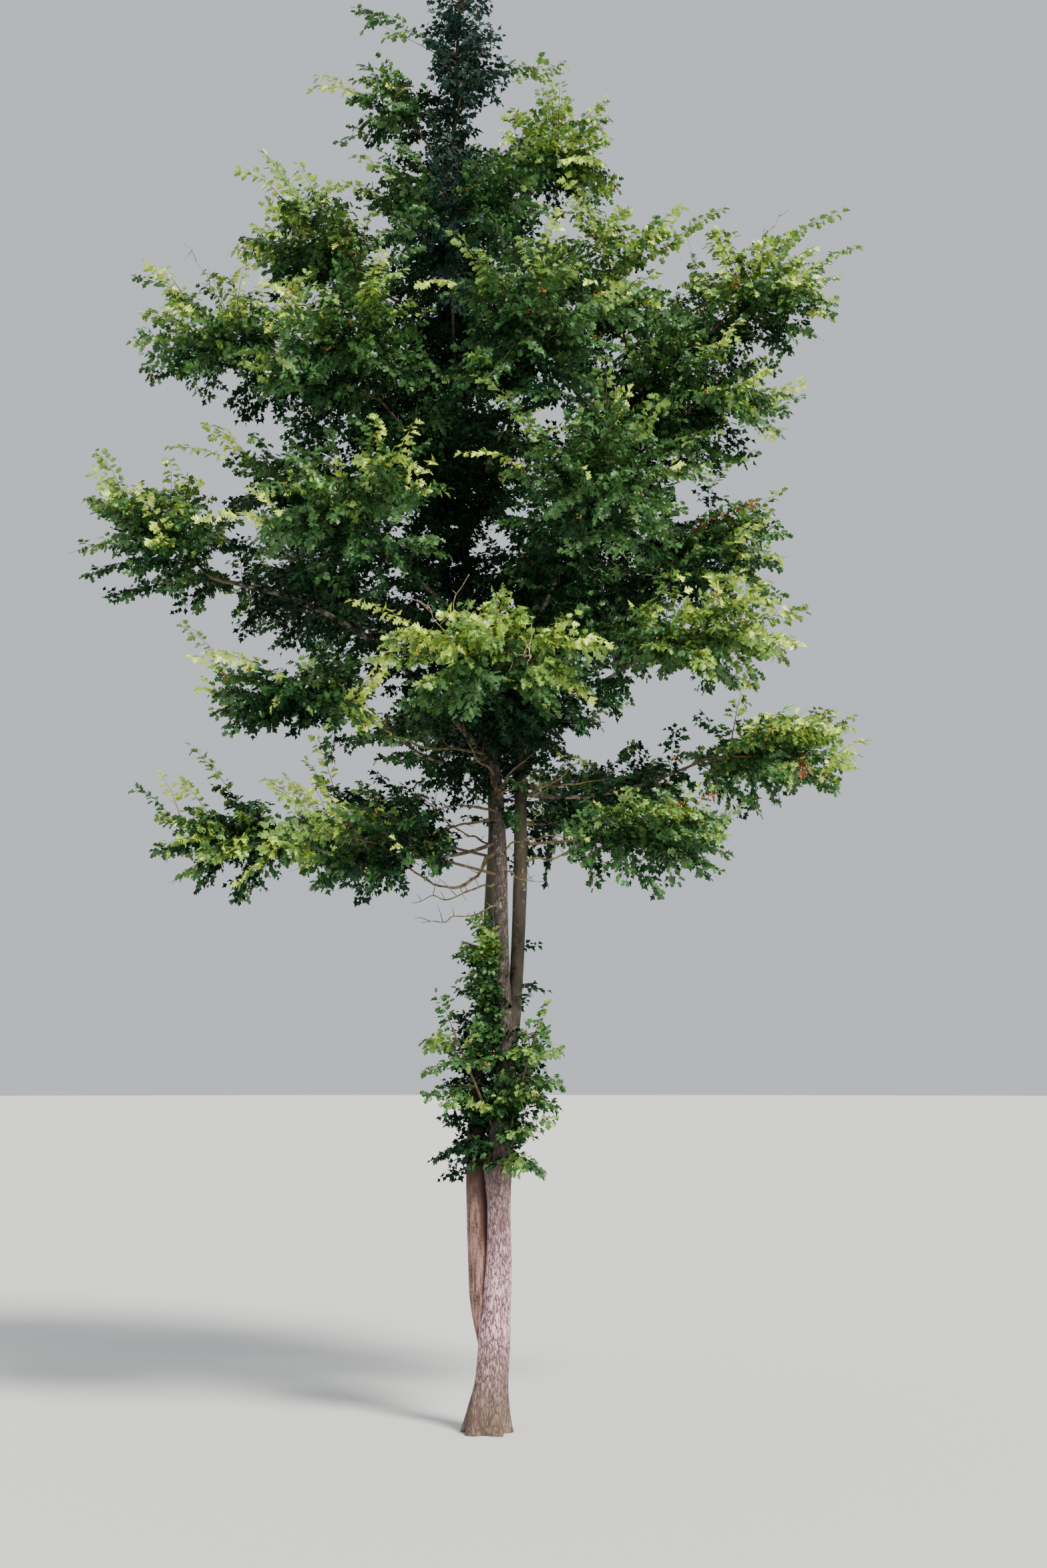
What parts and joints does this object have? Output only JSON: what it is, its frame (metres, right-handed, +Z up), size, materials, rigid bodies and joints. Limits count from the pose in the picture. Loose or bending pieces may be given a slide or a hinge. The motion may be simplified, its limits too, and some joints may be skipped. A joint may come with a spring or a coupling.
{
  "type": "hawthorn tree",
  "caption": "Hawthorn tree with a slender flared trunk, side stems that rise beside it, and an open, layered crown of small lobed leaves.",
  "frame": {"origin": "centre of the flat cut under the trunk, at ground level", "axes": "+Z up along the trunk, +X to the right and +Y away from someone who looks at the tree's pictured side"},
  "size_m": [3.6278, 2.8464, 7.0956],
  "materials": {
    "trunk_bark": "grey-brown bark with fine upright plates",
    "left_stem_bark": "smooth reddish-brown bark",
    "right_stem_bark": "smooth olive-brown bark",
    "bough_bark": "dark bark with pale lichen",
    "leaf": "matt green leaves"
  },
  "bodies": {
    "root": {"trunk": "trunk_bark", "left_stem": "left_stem_bark", "right_stem": "right_stem_bark", "bough_left_low_outer": "bough_bark", "bough_left_arch": "bough_bark", "bough_front_shelf": "bough_bark", "bough_left_big_inner": "bough_bark", "bough_left_front": "bough_bark", "bough_left_mid_outer": "bough_bark", "bough_left_mid_front": "bough_bark", "bough_front_mid": "bough_bark", "bough_back_upper": "bough_bark", "bough_left_upper": "bough_bark", "bough_right_crest": "bough_bark", "bough_back_shelf": "bough_bark", "bough_left_big_outer": "bough_bark", "bough_back_left": "bough_bark", "bough_right_low_outer": "bough_bark", "bough_right_low_back": "bough_bark", "bough_right_shelf": "bough_bark", "bough_right_front": "bough_bark", "bough_right_centre": "bough_bark", "bough_back_right": "bough_bark", "bough_right_mid": "bough_bark", "bough_right_upper_outer": "bough_bark", "foliage_left_low_outer": "leaf", "foliage_left_low_near": "leaf", "foliage_left_arch": "leaf", "foliage_front_shelf": "leaf", "foliage_left_big_inner": "leaf", "foliage_left_front": "leaf", "foliage_left_mid_outer": "leaf", "foliage_left_mid_front": "leaf", "foliage_front_mid": "leaf", "foliage_back_upper": "leaf", "foliage_left_upper": "leaf", "foliage_front_upper": "leaf", "foliage_right_crest": "leaf", "foliage_left_crest": "leaf", "foliage_back_crest": "leaf", "foliage_spire_side": "leaf", "foliage_spire_top": "leaf", "foliage_tuft_left": "leaf", "foliage_tuft_right": "leaf", "foliage_left_low_back": "leaf", "foliage_back_shelf": "leaf", "foliage_left_big_outer": "leaf", "foliage_back_left": "leaf", "foliage_back_mid": "leaf", "foliage_right_low": "leaf", "foliage_right_low_outer": "leaf", "foliage_right_low_back": "leaf", "foliage_right_shelf": "leaf", "foliage_right_front": "leaf", "foliage_right_centre": "leaf", "foliage_back_right": "leaf", "foliage_right_mid": "leaf", "foliage_right_upper_outer": "leaf", "foliage_right_upper_inner": "leaf"}
  },
  "joints": []
}
